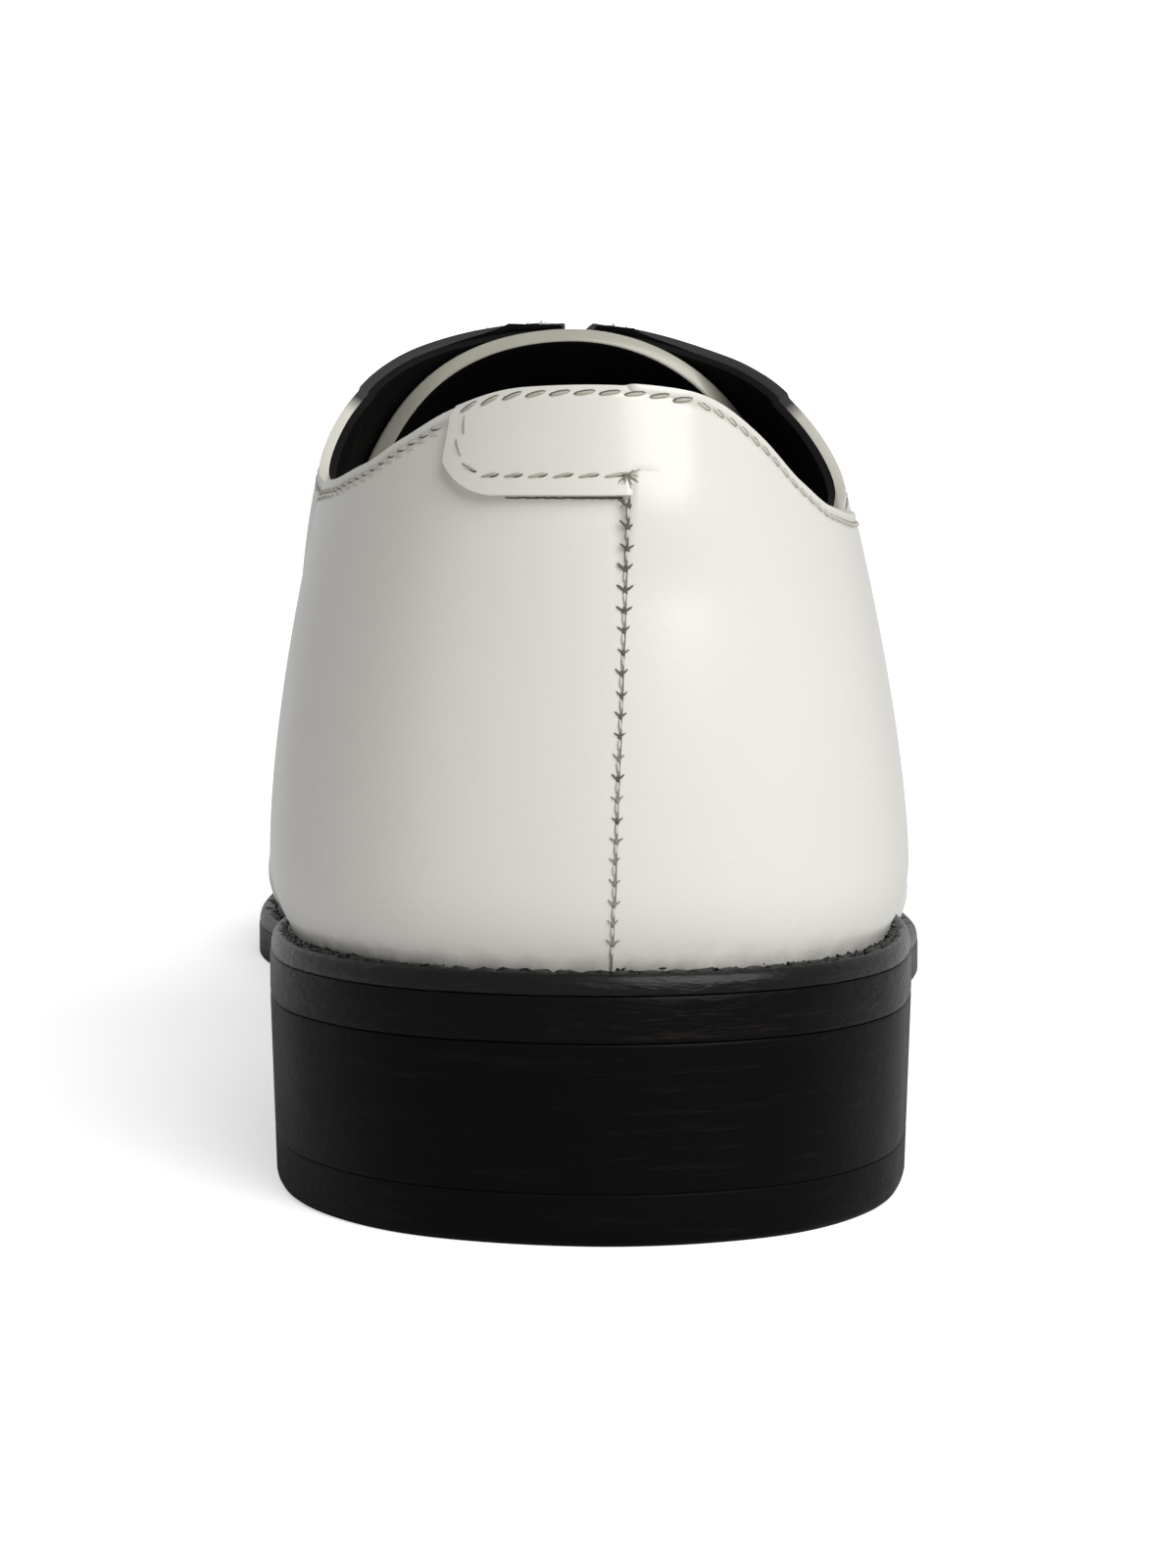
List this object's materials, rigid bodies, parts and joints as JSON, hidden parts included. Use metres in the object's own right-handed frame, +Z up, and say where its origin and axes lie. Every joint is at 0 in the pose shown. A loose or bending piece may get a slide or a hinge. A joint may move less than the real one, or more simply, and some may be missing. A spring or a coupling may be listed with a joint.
{
  "type": "cap toe oxford",
  "caption": "Laced leather dress shoe for the right foot with a capped toe, closed lacing, a stacked heel and an open collar for the foot.",
  "frame": {"origin": "on the floor under the centre of the heel, on the flat underside of the top lift", "axes": "+Z up, +Y towards the toe, +X to the outer (lateral) side of the foot"},
  "size_m": [0.1027, 0.3052, 0.0953],
  "materials": {
    "upper_leather": "polished smooth calf, ivory",
    "tongue_leather": "smooth calf, ivory, with a raw edge",
    "sole_leather": "black, burnished with wax",
    "lining_leather": "black, matt",
    "rubber": "black, satin",
    "lace": "waxed cotton cord, ivory"
  },
  "bodies": {
    "root": {"upper": "upper_leather", "toe_cap": "upper_leather", "tongue": "tongue_leather", "insole": "lining_leather", "welt": "sole_leather", "outsole": "sole_leather", "heel_stack": "sole_leather", "top_lift": "rubber", "lace_bar_1": "lace", "lace_bar_2": "lace", "lace_bar_3": "lace", "lace_bar_4": "lace", "lace_bar_5": "lace"}
  },
  "joints": []
}
